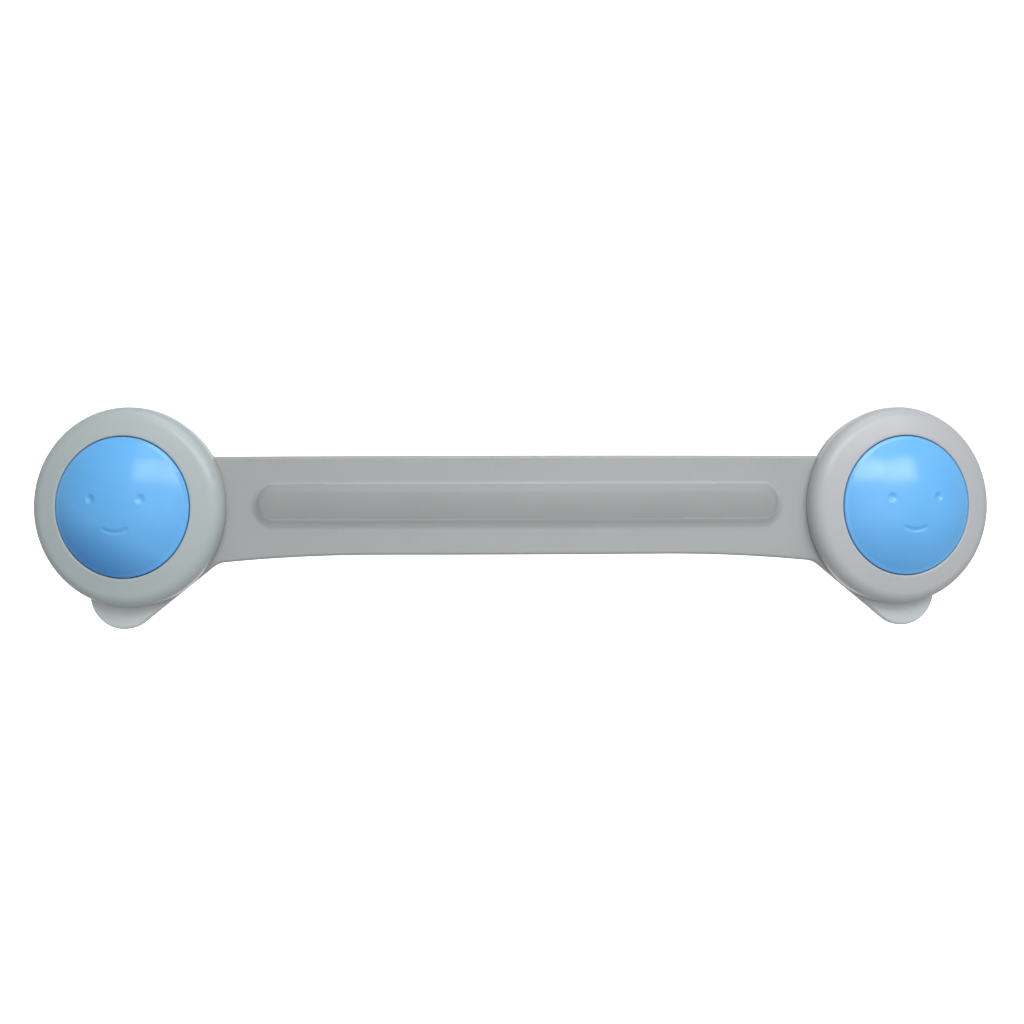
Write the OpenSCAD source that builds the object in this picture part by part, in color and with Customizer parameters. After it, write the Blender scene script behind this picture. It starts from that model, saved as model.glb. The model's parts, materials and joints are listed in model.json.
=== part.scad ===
// Cabinet safety lock: a bowed plastic strap between two round heads with press buttons.
// Each head clips onto a base plate that its adhesive pad sticks to a door or a drawer.
// The strap runs along X, the buttons face the front (minus Y) and the lifting tongues point down.

/* [Strap] */
// Length along the strap from the centre of one head to the centre of the other
head_pitch = 157; // [146:1:170]
// Width of the strap at its middle
strap_w = 19.5; // [17:0.5:21]
// Thickness of the strap and of its end plates
strap_t = 2; // [1.6:0.1:2.4]
// Angle through which the strap is bowed from head to head, in degrees
bow = 30; // [20:1:40]
// How far the middle line of the strap lies above the centres of the heads
strap_rise = 0.3; // [0:0.1:0.8]
// How far the lower edge drops from the middle of the strap to the web of the tongue
flare = 1.6; // [0.8:0.1:2]
// Straight length from the centre of a head to where the bow starts
root_l = 24; // [22:0.5:26]
// Slit between one link of the strap and the next
slit = 0.3; // [0.26:0.02:0.4]

/* [Rib] */
// Length of the raised rib along the strap
rib_l = 105; // [80:1:106]
// Width of the rib
rib_w = 7.4; // [6:0.2:9]
// Height of the rib over the strap
rib_h = 1.2; // [0.9:0.1:1.6]
// Height of the rib's straight flank, under its rounded crown
rib_flank = 0.5; // [0.3:0.1:0.7]

/* [Tongue] */
// How far the lifting tongue stands out below the cover ring
tongue_out = 4.5; // [3:0.5:6]
// Radius of the tongue's rounded tip
tongue_r = 7.2; // [6:0.1:9]
// How far the tongue is set outward from the middle of its head
tongue_offset = 1.9; // [0:0.1:3]
// Where the web of the tongue meets the lower edge of the strap, from the centre of the head
web_x = 18; // [17:0.5:20]

/* [Cover ring] */
// Outer diameter of the cover ring
head_d = 40; // [39:0.5:43]
// Wall thickness of the cover ring
cover_wall = 1.8; // [1.4:0.1:2]
// Thickness of the cover ring's top around the button
cover_top_t = 1.9; // [1.5:0.1:2.5]
// Radius of the rounded shoulder
shoulder_r = 3; // [2.4:0.2:3.6]
// Radius of the slightly crowned top
crown_r = 75; // [60:5:120]
// Diameter of the cover ring's four fixing pins
pin_d = 2.2; // [1.8:0.1:2.4]

/* [Button] */
// Diameter of the blue dome
button_d = 28; // [26:0.5:29]
// Height of the dome over its rim
dome_h = 4.5; // [3:0.5:6]
// Wall thickness of the button cap
cap_wall = 1.5; // [1.2:0.1:1.8]
// How far the button can be pressed
travel = 1.8; // [1.4:0.1:2]
// Width of the flange that keeps the button in the cover ring
flange_w = 1.6; // [1.2:0.1:1.7]
// Thickness of that flange
flange_t = 1; // [0.8:0.1:1.4]
// Thickness of the two wedge fingers
finger_t = 1.6; // [1.2:0.1:1.8]

/* [Face] */
// Distance between the two eye dimples
eye_pitch = 10.4; // [7:0.1:11]
// Height of the eyes above the middle of the dome
eye_y = 1.7; // [1:0.1:4]
// Diameter of an eye dimple
eye_d = 2; // [1.4:0.1:2.6]
// Radius of the curve of the mouth
mouth_r = 5; // [4:0.5:8]
// Angle that the mouth spans, in degrees
mouth_span = 60; // [40:5:90]
// How far the lowest point of the mouth lies below the middle of the dome
mouth_y = 4.9; // [4:0.1:6.5]
// Width of the mouth's groove
mouth_w = 0.9; // [0.6:0.1:1.2]
// Depth of the dimples and of the groove
face_depth = 0.35; // [0.2:0.05:0.5]

/* [Base] */
// Diameter of the adhesive pad
pad_d = 35; // [31:0.5:36]
// Thickness of the adhesive pad
pad_t = 1; // [0.8:0.1:1.5]
// Diameter of the base plate
base_d = 37.2; // [36.4:0.2:38.4]
// Thickness of the base plate
base_t = 2; // [1.8:0.1:2.6]
// Bevel on the front edge of the base plate
base_bevel = 0.6; // [0.3:0.1:1]
// Diameter of the two locating pins
locator_d = 3.2; // [2.6:0.1:3.4]
// Distance between the two locating pins
locator_pitch = 28.8; // [28:0.2:30]

/* [Catch post] */
// Diameter of the post's mushroom head
post_head_d = 7.2; // [6.6:0.1:7.3]
// Thickness of the mushroom head
post_head_t = 1.5; // [1.2:0.1:1.8]
// Diameter of the neck that the clip grips
post_neck_d = 4.8; // [4.4:0.1:5]
// Diameter of the shank that locates the head
post_shank_d = 7.4; // [7.3:0.1:7.8]
// Diameter of the foot under the base plate
post_foot_d = 11; // [10:0.5:13]
// Thickness of that foot
post_foot_t = 0.8; // [0.6:0.1:1]

/* [Latch clip] */
// Wire diameter of the latch clip
clip_wire = 1; // [0.8:0.1:1]
// How far the clip's straight legs reach past the post on the bend's side
clip_bend_y = 6.8; // [6.6:0.1:7]
// How far the legs reach past the post on the open side
clip_leg_y = 7.4; // [7:0.1:8]
// Diameter of the peg inside the clip's bend
peg_d = 2.2; // [1.8:0.1:2.2]

/* [Return spring] */
// Wire diameter of the return spring
spring_wire = 0.9; // [0.7:0.1:1]
// Mean diameter of the return spring
spring_d = 22.4; // [22.4:0.1:22.8]
// Number of turns of the return spring
spring_turns = 2; // [1.5:0.25:2]

/* [Fits] */
// Gap between a base plate and the strap's end plate, flat to flat
seat_gap = 0.2; // [0.1:0.05:0.3]
// Gap around the post, the locating pins and the fingers
slip = 0.3; // [0.25:0.05:0.35]
// Gap around the dome in the cover ring's opening
dome_gap = 0.3; // [0.25:0.05:0.4]
// Gap around parts that are pressed into their seats
fixed_gap = 0.05; // [0.03:0.01:0.08]
// Gap over and under the clip's wire
clip_gap = 0.1; // [0.05:0.05:0.15]

/* [Hidden] */

$fn = 96;
// Segments of a full circle for the strap's long arcs
arc_fn = 720;
left = -1;
right = 1;
// How far a cut runs past what it cuts
over = 0.5;

// Colours
ring_tone = [0.68, 0.71, 0.72];
strap_tone = [0.69, 0.70, 0.70];
button_tone = [0.42, 0.69, 0.93];
base_tone = [0.84, 0.85, 0.85];
pad_tone = [0.93, 0.93, 0.91];
steel_tone = [0.75, 0.76, 0.78];

// Radii that the diameters give
head_r = head_d / 2;
button_r = button_d / 2;
base_r = base_d / 2;
pad_r = pad_d / 2;
post_head_r = post_head_d / 2;
shank_r = post_shank_d / 2;
neck_r = post_neck_d / 2;
clip_r = clip_wire / 2;
spring_r = spring_d / 2;

// Stack of a head, counted outward from the adhesive face
base_z = pad_t;
base_top = base_z + base_t;
plate_z = base_top + seat_gap;
plate_mid = plate_z + strap_t / 2;
plate_top = plate_z + strap_t;
clip_z = plate_top + clip_gap + clip_r;
post_head_z = clip_z + clip_r + clip_gap;
// How far the shank stops short of the front of the end plate
shank_drop = 0.2;
shank_top = plate_top - shank_drop;

// Button over the end plate
press_gap = 0.4;
lift_gap = 0.2;
flange_z = plate_top + travel + press_gap;
flange_r = button_r + flange_w;
cavity_z = flange_z + flange_t + lift_gap;
cover_top = cavity_z + cover_top_t;
rim_drop = 0.2;
rim_z = cover_top - rim_drop;
dome_r = (button_r * button_r + dome_h * dome_h) / (2 * dome_h);
dome_cz = rim_z + dome_h - dome_r;
function dome_height(r, depth) = dome_cz + sqrt(pow(dome_r - depth, 2) - r * r);

// Cover ring: the crowned top runs into the shoulder without a step
opening_r = button_r + dome_gap;
rim_bevel = 0.3;
crown_cz = cover_top - sqrt(crown_r * crown_r - opening_r * opening_r);
shoulder_x = head_r - shoulder_r;
shoulder_cz = crown_cz + sqrt(pow(crown_r - shoulder_r, 2) - shoulder_x * shoulder_x);
crown_end_x = shoulder_x * crown_r / (crown_r - shoulder_r);
cavity_r = head_r - cover_wall;
cavity_bevel = 1.2;
// Shadow line between the cover ring's edge and the end plate
edge_gap = 0.3;
edge_lip = 0.8;
// Fixing pins of the cover ring and the posts that carry them
pin_post_wall = 0.3;
pin_post_r = pin_d / 2 + pin_post_wall;
pin_x = flange_r + slip + pin_post_r;
pin_recess = 0.2;
// How far the posts and ribs run into the top of the cover ring
sink = 0.3;
pin_angles = [45, 135, 225, 315];
// Ribs that keep the button's face upright
key_w = 1.6;
key_depth = 0.7;
key_r = flange_r - key_depth;

// Spring seat under the dome and groove in the end plate
groove_depth = 0.4;
groove_side = 0.25;
spring_outer_r = spring_r + spring_wire / 2;
spring_inner_r = spring_r - spring_wire / 2;
spring_foot = plate_top - groove_depth;
seat_z = dome_height(spring_outer_r, cap_wall);
seat_inner_r = spring_inner_r - groove_side;
skirt_inner_r = button_r - cap_wall;
touch_gap = 0.02;
curl_rings = 12;
curl_sides = 8;

// Clip and wedge fingers
clip_x = neck_r + fixed_gap + clip_r;
clip_splay = 20;
clip_turn_r = 1.5;
clip_tail = 0.8;
finger_y = post_head_r + 2 * slip;
finger_tip_gap = 0.25;
finger_rest_gap = 0.2;
spread_over = 0.05;
finger_tip_x = clip_x - clip_r - finger_tip_gap;
finger_wide_x = post_head_r + spread_over;
finger_tip_z = clip_z + finger_rest_gap;
finger_wide_z = clip_z + travel;
finger_far = norm([finger_wide_x, finger_y + finger_t]);
finger_top = dome_height(finger_far, cap_wall / 2);
// Half width of a finger where it passes the front of the end plate when the button is pressed
finger_slot_x = finger_tip_x + (finger_wide_x - finger_tip_x) * (plate_top - finger_tip_z + travel)
    / (finger_wide_z - finger_tip_z) + slip;

// Peg inside the clip's bend, and keeper over its open end
peg_y = clip_bend_y + clip_x - clip_r - fixed_gap - peg_d / 2;
peg_cap_share = 0.7;
peg_cap_r = peg_d / 2 + peg_cap_share * clip_wire;
guide_cap_t = 0.6;
guide_z = clip_z + clip_r + 2 * clip_gap;
keeper_y = finger_y + finger_t + 2 * slip;
keeper_l = 1.4;
keeper_post_w = 1.3;
keeper_x = post_head_r + clip_wire + 2 * slip;

// Post in the base plate
post_tip_share = 0.6;
post_edge_t = post_head_t / 3;
locator_top = plate_top - shank_drop;
locator_bevel = 0.4;

// Plan of the strap and of its end plates
tilt = bow / 2;
strap_arc = head_pitch - 2 * root_l;
strap_r = strap_arc / (bow * PI / 180);
strap_high = strap_w / 2 + strap_rise;
strap_low = strap_w / 2 - strap_rise;
links = 5;
hinge_step = bow / (links + 1);
slit_deg = slit / strap_r * 180 / PI;
function hinge_deg(k) = (k + 0.5) * hinge_step - tilt;
// The lower edge falls away in an arc from the second slit to a short straight edge beside the web
web_flat = 1;
flare_start = root_l + strap_r * sin(1.5 * hinge_step);
flare_end = web_x + web_flat;
flare_r = (pow(flare_start - flare_end, 2) + flare * flare) / (2 * flare);
plate_side = 0.4;
plate_r = head_r - plate_side;
tongue_tip = head_r + tongue_out;
tongue_c = [-tongue_offset, tongue_r - tongue_tip];
web_corner = [web_x, -strap_low - flare];
web_reach = web_corner - tongue_c;
web_touch_deg = atan2(web_reach.y, web_reach.x) - acos(tongue_r / norm(web_reach));
web_touch = tongue_c + tongue_r * [cos(web_touch_deg), sin(web_touch_deg)];

// Rib on the strap
rib_rise = rib_h - rib_flank;
rib_crown_r = (rib_w * rib_w / 4 + rib_rise * rib_rise) / (2 * rib_rise);
rib_crown_x = strap_r + strap_t / 2 + rib_h - rib_crown_r;
rib_end_deg = (rib_l - rib_w) / 2 / (strap_r + strap_t / 2) * 180 / PI;

// Origin in the middle of the whole lock: the strap's crown is foremost, the pads' outer edges hindmost
front_y = -strap_r - strap_t / 2 - rib_h;
back_y = root_l * sin(tilt) - (strap_r - plate_mid) * cos(tilt) + pad_r * sin(tilt);
arc_y = -(front_y + back_y) / 2;
head_z = (tongue_tip - head_r) / 2;

// Puts a head's parts in place: there X runs along the strap, Y up and Z out of the adhesive face
module at_head(side) {
    translate([0, arc_y, head_z])
    rotate([0, 0, side * tilt])
    translate([side * root_l, -strap_r, 0])
    rotate([90, 0, 0])
    translate([0, 0, -plate_mid])
    children();
}

// Puts what runs along the bowed strap in place: the axis of the bow is the Z axis
module at_arc() {
    translate([0, arc_y, head_z])
    children();
}

// Adhesive pad
module adhesive_pad(side) {
    color(pad_tone)
    at_head(side)
    cylinder(r = pad_r, h = pad_t);
}

// Base plate with its locating pins and the stepped seat of the catch post
module base_plate(side) {
    color(base_tone)
    at_head(side)
    difference() {
        union() {
            rotate_extrude()
            polygon([
                [0, base_z], [base_r, base_z], [base_r, base_top - base_bevel],
                [base_r - base_bevel, base_top], [0, base_top]
            ]);
            for (x = [-locator_pitch / 2, locator_pitch / 2])
                translate([x, 0, 0]) locator();
        }
        translate([0, 0, base_z - over])
        cylinder(r = post_foot_d / 2 + fixed_gap, h = post_foot_t + over);
        translate([0, 0, base_z])
        cylinder(r = shank_r + fixed_gap, h = base_t + over);
    }
}

// Locating pin with a bevelled tip
module locator() {
    rotate_extrude()
    polygon([
        [0, base_z + base_t / 2], [locator_d / 2, base_z + base_t / 2],
        [locator_d / 2, locator_top - locator_bevel],
        [locator_d / 2 - locator_bevel, locator_top], [0, locator_top]
    ]);
}

// Turned catch post: foot, shank, neck and mushroom head
module catch_post(side) {
    color(steel_tone)
    at_head(side)
    rotate_extrude()
    polygon([
        [0, base_z], [post_foot_d / 2, base_z], [post_foot_d / 2, base_z + post_foot_t - fixed_gap],
        [shank_r, base_z + post_foot_t - fixed_gap], [shank_r, shank_top - shank_drop],
        [shank_r - shank_drop, shank_top], [neck_r, shank_top], [neck_r, post_head_z],
        [post_head_r, post_head_z], [post_head_r, post_head_z + post_edge_t],
        [post_head_r * post_tip_share, post_head_z + post_head_t], [0, post_head_z + post_head_t]
    ]);
}

// Outline of a strap end: round plate, lifting tongue, web and the root of the strap
module end_outline() {
    circle(r = plate_r);
    translate(tongue_c) circle(r = tongue_r);
    polygon([
        [0, 0], tongue_c, web_touch, web_corner, [root_l, web_corner.y], [root_l, strap_high], [0, strap_high]
    ]);
}

// Everything that is cut through an end plate
module end_cuts() {
    translate([0, 0, plate_z - over]) {
        cylinder(r = shank_r + slip, h = strap_t + 2 * over);
        for (x = [-locator_pitch / 2, locator_pitch / 2])
            translate([x, 0, 0]) cylinder(r = locator_d / 2 + slip, h = strap_t + 2 * over);
        for (a = pin_angles)
            rotate([0, 0, a]) translate([pin_x, 0, 0])
            cylinder(r = pin_d / 2 + fixed_gap, h = strap_t + 2 * over);
        for (m = [0, 1])
            mirror([0, m, 0])
            translate([-finger_slot_x, finger_y - slip, 0])
            cube([2 * finger_slot_x, finger_t + 2 * slip, strap_t + 2 * over]);
    }
    translate([0, 0, spring_foot])
    difference() {
        cylinder(r = spring_outer_r + groove_side, h = groove_depth + over);
        translate([0, 0, -over])
        cylinder(r = spring_inner_r - groove_side, h = groove_depth + 3 * over);
    }
}

// Peg with a cap inside the clip's bend, and a keeper bridge over its open end
module clip_guides() {
    translate([0, peg_y, plate_z + strap_t / 2]) {
        cylinder(d = peg_d, h = guide_z - plate_mid + guide_cap_t);
        translate([0, 0, guide_z - plate_mid])
        cylinder(r = peg_cap_r, h = guide_cap_t);
    }
    for (m = [0, 1])
        mirror([m, 0, 0])
        translate([keeper_x, -keeper_y - keeper_l, plate_mid])
        cube([keeper_post_w, keeper_l, guide_z - plate_mid + guide_cap_t]);
    translate([-keeper_x - keeper_post_w, -keeper_y - keeper_l, guide_z])
    cube([2 * (keeper_x + keeper_post_w), keeper_l, guide_cap_t]);
}

// Raised rib along the whole strap, with full round ends
module rib() {
    rotate([0, 0, -rib_end_deg - 90])
    rotate_extrude(angle = 2 * rib_end_deg, $fn = arc_fn)
    intersection() {
        translate([rib_crown_x, 0]) circle(r = rib_crown_r);
        translate([strap_r, -rib_w / 2]) square([rib_w, rib_w]);
    }
    for (a = [-rib_end_deg, rib_end_deg])
        rotate([0, 0, a])
        intersection() {
            translate([0, -rib_crown_x, 0]) sphere(r = rib_crown_r);
            translate([0, -strap_r, 0]) rotate([90, 0, 0]) cylinder(d = rib_w, h = rib_w);
        }
}

// Sector of the strap's bow between two angles from the front
module bow_sector(from, to, inner, outer, low, high) {
    rotate([0, 0, from - 90])
    rotate_extrude(angle = to - from, $fn = arc_fn)
    translate([inner, -low])
    square([outer - inner, low + high]);
}

// A stretch of the bowed strap with its part of the rib
module strap_stretch(from, to, drop) {
    at_arc() {
        bow_sector(from, to, strap_r - strap_t / 2, strap_r + strap_t / 2, strap_low + drop, strap_high);
        intersection() {
            translate([0, 0, strap_rise]) rib();
            bow_sector(from, to, strap_r - rib_w, strap_r + rib_w, strap_w, strap_w);
        }
    }
}

// What the arc of the lower edge takes away between the straight edge and the second slit
module flare_cut(side) {
    at_head(side)
    translate([0, 0, plate_mid - strap_w])
    linear_extrude(height = 2 * strap_w)
    mirror([side > 0 ? 1 : 0, 0])
    intersection() {
        translate([flare_start, -strap_low - flare_r]) circle(r = flare_r, $fn = arc_fn);
        translate([web_x + web_flat / 2, -head_r]) square([flare_start, head_r]);
    }
}

// End of the strap: plate with tongue and web, and the start of the bow
module strap_end(side) {
    color(strap_tone)
    difference() {
        union() {
            at_head(side) {
                translate([0, 0, plate_z])
                linear_extrude(height = strap_t)
                mirror([side > 0 ? 1 : 0, 0])
                end_outline();
                clip_guides();
            }
            if (side < 0) strap_stretch(-tilt, hinge_deg(0) - slit_deg / 2, flare);
            else strap_stretch(hinge_deg(links) + slit_deg / 2, tilt, flare);
        }
        flare_cut(side);
        at_head(side) end_cuts();
    }
}

// Link of the strap, counted from 1 at the left
module strap_link(k) {
    from = hinge_deg(k - 1) + slit_deg / 2;
    to = hinge_deg(k) - slit_deg / 2;
    color(strap_tone)
    if (k == 1 || k == links)
        difference() {
            strap_stretch(from, to, flare);
            flare_cut(k == 1 ? left : right);
        }
    else
        strap_stretch(from, to, 0);
}

// One leg of the latch clip: straight beside the post, then turned outward into a short tail
module clip_leg() {
    rotate([90, 0, 0]) cylinder(r = clip_r, h = clip_bend_y + clip_leg_y);
    translate([clip_turn_r, -clip_bend_y - clip_leg_y, 0]) {
        rotate([0, 0, 180])
        rotate_extrude(angle = clip_splay)
        translate([clip_turn_r, 0]) circle(r = clip_r);
        rotate([0, 0, clip_splay])
        translate([-clip_turn_r, 0, 0])
        rotate([90, 0, 0]) cylinder(r = clip_r, h = clip_tail);
    }
}

// Hairpin latch clip of round wire: two legs beside the post's neck, joined by a bend
module latch_clip(side) {
    color(steel_tone)
    at_head(side)
    translate([0, clip_bend_y, clip_z]) {
        rotate_extrude(angle = 180)
        translate([clip_x, 0]) circle(r = clip_r);
        for (m = [0, 1])
            mirror([m, 0, 0])
            translate([clip_x, 0, 0]) clip_leg();
    }
}

// Return spring: one unbroken tube along a helix
spring_steps = round(spring_turns * curl_rings);
spring_low = spring_foot + spring_wire / 2 + touch_gap;
spring_rise = seat_z - spring_foot - spring_wire - 2 * touch_gap;
function coil_deg(k) = 360 * spring_turns * k / spring_steps;
function coil_centre(k) = [
    spring_r * cos(coil_deg(k)), spring_r * sin(coil_deg(k)), spring_low + spring_rise * k / spring_steps
];
function coil_lead() = atan2(spring_rise, 2 * PI * spring_r * spring_turns);
function coil_ring(k) = let (
    a = coil_deg(k),
    out = [cos(a), sin(a), 0],
    up = [sin(a) * sin(coil_lead()), -cos(a) * sin(coil_lead()), cos(coil_lead())]
) [for (j = [0 : curl_sides - 1])
    coil_centre(k) + spring_wire / 2 * (cos(360 * j / curl_sides) * out + sin(360 * j / curl_sides) * up)];

module return_spring(side) {
    points = [for (k = [0 : spring_steps]) each coil_ring(k)];
    last = spring_steps * curl_sides;
    faces = concat(
        [[for (j = [0 : curl_sides - 1]) j]],
        [[for (j = [curl_sides - 1 : -1 : 0]) last + j]],
        [for (k = [0 : spring_steps - 1], j = [0 : curl_sides - 1]) let (
            n = (j + 1) % curl_sides,
            low = k * curl_sides,
            high = low + curl_sides
        ) each [[low + j, high + j, high + n], [low + j, high + n, low + n]]]
    );
    color(steel_tone)
    at_head(side)
    polyhedron(points = points, faces = faces, convexity = 4);
}

// Half section of the button cap: dome, skirt and flange around a hollow with a flat spring seat
module cap_section() {
    difference() {
        union() {
            intersection() {
                translate([0, dome_cz]) circle(r = dome_r, $fn = arc_fn);
                translate([0, flange_z]) square([button_r, rim_z + dome_h - flange_z]);
            }
            translate([0, flange_z]) square([button_r, rim_z - flange_z]);
            translate([0, flange_z]) square([flange_r, flange_t]);
        }
        intersection() {
            translate([0, dome_cz]) circle(r = dome_r - cap_wall, $fn = arc_fn);
            translate([0, flange_z - over]) square([seat_inner_r, rim_z + dome_h - flange_z]);
        }
        translate([0, flange_z - over]) square([skirt_inner_r, seat_z - flange_z + over]);
    }
}

// Wedge finger that spreads the latch clip when the button is pressed
module wedge_finger() {
    translate([0, finger_y + finger_t, 0])
    rotate([90, 0, 0])
    linear_extrude(height = finger_t)
    polygon([
        [-finger_tip_x, finger_tip_z], [finger_tip_x, finger_tip_z], [finger_wide_x, finger_wide_z],
        [finger_wide_x, finger_top], [-finger_wide_x, finger_top], [-finger_wide_x, finger_wide_z]
    ]);
}

// Two dimples and a curved groove on the dome
module face_cuts() {
    eye_r = eye_d / 2;
    eye_ball_r = (eye_r * eye_r + face_depth * face_depth) / (2 * face_depth);
    for (x = [-eye_pitch / 2, eye_pitch / 2])
        translate([x, eye_y, sqrt(dome_r * dome_r - x * x - eye_y * eye_y)]
            * (dome_r + eye_ball_r - face_depth) / dome_r + [0, 0, dome_cz])
        sphere(r = eye_ball_r);
    groove_r = mouth_w / 2;
    translate([0, mouth_r - mouth_y, dome_height(mouth_y, 0) + groove_r - face_depth])
    rotate([0, 0, -90 - mouth_span / 2])
    rotate_extrude(angle = mouth_span)
    translate([mouth_r, 0]) circle(r = groove_r);
}

// Button cap
module button_cap(side) {
    color(button_tone)
    at_head(side)
    difference() {
        union() {
            rotate_extrude() cap_section();
            for (m = [0, 1]) mirror([0, m, 0]) wedge_finger();
        }
        for (m = [0, 1])
            mirror([m, 0, 0])
            translate([key_r - slip, -key_w / 2 - slip, flange_z - over])
            cube([flange_r, key_w + 2 * slip, flange_t + 2 * over]);
        face_cuts();
    }
}

// Half section of the cover ring
module cover_section() {
    difference() {
        union() {
            intersection() {
                translate([0, crown_cz]) circle(r = crown_r, $fn = arc_fn);
                translate([0, plate_top]) square([crown_end_x, crown_r]);
            }
            intersection() {
                translate([shoulder_x, shoulder_cz]) circle(r = shoulder_r);
                translate([0, shoulder_cz]) square([head_r, shoulder_r]);
            }
            translate([0, plate_top]) square([head_r, shoulder_cz - plate_top]);
        }
        translate([0, plate_top - over]) square([opening_r, cover_top]);
        polygon([
            [0, plate_top - over], [cavity_r, plate_top - over], [cavity_r, cavity_z - cavity_bevel],
            [cavity_r - cavity_bevel, cavity_z], [0, cavity_z]
        ]);
        translate([head_r - edge_lip, plate_top - over]) square([edge_lip + over, edge_gap + over]);
        translate([opening_r, cover_top]) rotate(45) square(rim_bevel * sqrt(2), center = true);
    }
}

// Cover ring with its fixing pins and the two ribs that keep the button upright
module cover_ring(side) {
    color(ring_tone)
    at_head(side) {
        rotate_extrude() cover_section();
        for (a = pin_angles)
            rotate([0, 0, a]) translate([pin_x, 0, 0]) {
                translate([0, 0, plate_top + edge_gap])
                cylinder(r = pin_post_r, h = cavity_z - plate_top - edge_gap + sink);
                translate([0, 0, plate_z + pin_recess])
                cylinder(d = pin_d, h = strap_t + edge_gap);
            }
        for (m = [0, 1])
            mirror([m, 0, 0])
            translate([key_r, -key_w / 2, plate_top + edge_gap])
            cube([cavity_r - key_r + edge_lip / 2, key_w, cavity_z - plate_top - edge_gap + sink]);
    }
}

adhesive_pad(left);  // left_adhesive_pad
base_plate(left);  // left_base_plate
catch_post(left);  // left_catch_post
strap_end(left);  // left_strap_end
latch_clip(left);  // left_latch_clip
return_spring(left);  // left_return_spring
button_cap(left);  // left_button_cap
cover_ring(left);  // left_cover_ring
strap_link(1);  // strap_link_1
strap_link(2);  // strap_link_2
strap_link(3);  // strap_link_3
strap_link(4);  // strap_link_4
strap_link(5);  // strap_link_5
strap_end(right);  // right_strap_end
latch_clip(right);  // right_latch_clip
return_spring(right);  // right_return_spring
button_cap(right);  // right_button_cap
cover_ring(right);  // right_cover_ring
catch_post(right);  // right_catch_post
base_plate(right);  // right_base_plate
adhesive_pad(right);  // right_adhesive_pad
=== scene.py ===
"""Looks of the cabinet safety lock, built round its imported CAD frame. All lengths are metres."""
import json
import math

import bmesh
import bpy
from mathutils import Matrix, Vector
from mathutils.geometry import delaunay_2d_cdt


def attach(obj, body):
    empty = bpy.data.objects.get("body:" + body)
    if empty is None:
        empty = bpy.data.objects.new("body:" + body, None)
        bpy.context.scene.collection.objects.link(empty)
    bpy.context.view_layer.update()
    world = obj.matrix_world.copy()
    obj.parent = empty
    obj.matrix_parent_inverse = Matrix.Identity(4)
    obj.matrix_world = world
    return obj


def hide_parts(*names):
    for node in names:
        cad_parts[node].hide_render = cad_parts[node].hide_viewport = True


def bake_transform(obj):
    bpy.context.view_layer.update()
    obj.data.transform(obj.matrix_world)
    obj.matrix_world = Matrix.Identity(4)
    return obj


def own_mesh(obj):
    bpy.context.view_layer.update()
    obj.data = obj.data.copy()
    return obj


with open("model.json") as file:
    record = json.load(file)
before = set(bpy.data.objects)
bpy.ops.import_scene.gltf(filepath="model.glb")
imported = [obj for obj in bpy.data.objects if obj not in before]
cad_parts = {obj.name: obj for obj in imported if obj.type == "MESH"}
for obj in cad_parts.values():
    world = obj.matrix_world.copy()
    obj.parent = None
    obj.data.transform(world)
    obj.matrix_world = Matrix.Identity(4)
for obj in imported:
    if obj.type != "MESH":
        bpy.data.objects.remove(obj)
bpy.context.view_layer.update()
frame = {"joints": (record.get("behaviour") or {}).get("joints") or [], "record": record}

MM = 0.001
TURN = 2 * math.pi
LEFT, RIGHT = -1, 1
SIDE_NAME = {LEFT: "left", RIGHT: "right"}

# Camera, fitted to the photograph
CAMERA_AT = (-25.7 * MM, -435.3 * MM, 5.35 * MM)
CAMERA_YAW, CAMERA_PITCH, CAMERA_ROLL = 3.23, -0.56, -0.14
IMAGE_WIDTH = 1024
FOCAL_PIXELS = 2167
SENSOR = 36

# Stage: a white sweep, with a bright patch on the wall behind the lock and a faint glow on the floor in front
FLOOR_Z, WALL_Y, WALL_BEND = -0.9, 0.75, 0.35
SWEEP_REACH, SWEEP_SIDE = 2.6, 8.0
FLOOR_TONE, FLOOR_SHADE = (0.78, 0.78, 0.78), (0.80, 0.80, 0.80)
PATCH_AT, PATCH_R, PATCH_RIM, PATCH_GLOW = (0.041, 0, -0.006), 0.41, 0.656, 1.0
PATCH_FROM_Y, PATCH_FULL_Y = 0.1, 0.45
FLOOR_GLOW, FLOOR_GLOW_FROM_Y, FLOOR_GLOW_FULL_Y = 0.25, -0.5, -1.2

# Light of the surroundings: an even fill, brighter round the direction that the camera looks from
FILL, FRONT_FILL, FILL_TINT = 0.28, 0.5, (0.96, 0.98, 1.0, 1)
FRONT_WAY, FRONT_RIM, FRONT_CORE = (0.15, -0.98, 0.1), 0.3, 0.9

# Tones, linear
# The rings are one plastic: the left ring's darker, cooler tones are painted shade, as the left head takes
# less light.
RING = {LEFT: (0.338, 0.380, 0.383), RIGHT: (0.378, 0.388, 0.400)}
RING_SHADE = {LEFT: (0.323, 0.365, 0.369), RIGHT: (0.363, 0.373, 0.384)}
# The third strap tone is a paler tone painted on the strap's ends as light on the tongues, which the rings
# shade.
STRAP, STRAP_SHADE, TONGUE_LIT = (0.306, 0.314, 0.312), (0.292, 0.300, 0.299), (0.45, 0.48, 0.485)
RIB, RIB_SHADE = (0.252, 0.256, 0.256), (0.242, 0.246, 0.246)
BASE, BASE_SHADE = (0.68, 0.70, 0.70), (0.64, 0.66, 0.66)
BLUE, BLUE_SHADE = (0.124, 0.395, 0.755), (0.112, 0.375, 0.730)
# The second blue on the next line is a deeper blue painted low on the domes as shade
BLUE_EDGE, BLUE_PAINTED_SHADE = (0.18, 0.47, 0.82), (0.015, 0.12, 0.39)
FOAM, FOAM_GRIME, FOAM_CELL = (0.80, 0.79, 0.74), (0.66, 0.64, 0.58), (0.70, 0.69, 0.65)
FILM, FILM_SHADE = (0.78, 0.76, 0.66), (0.70, 0.68, 0.58)
PLATED, WIRE = (0.66, 0.67, 0.69), (0.52, 0.53, 0.55)
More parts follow.
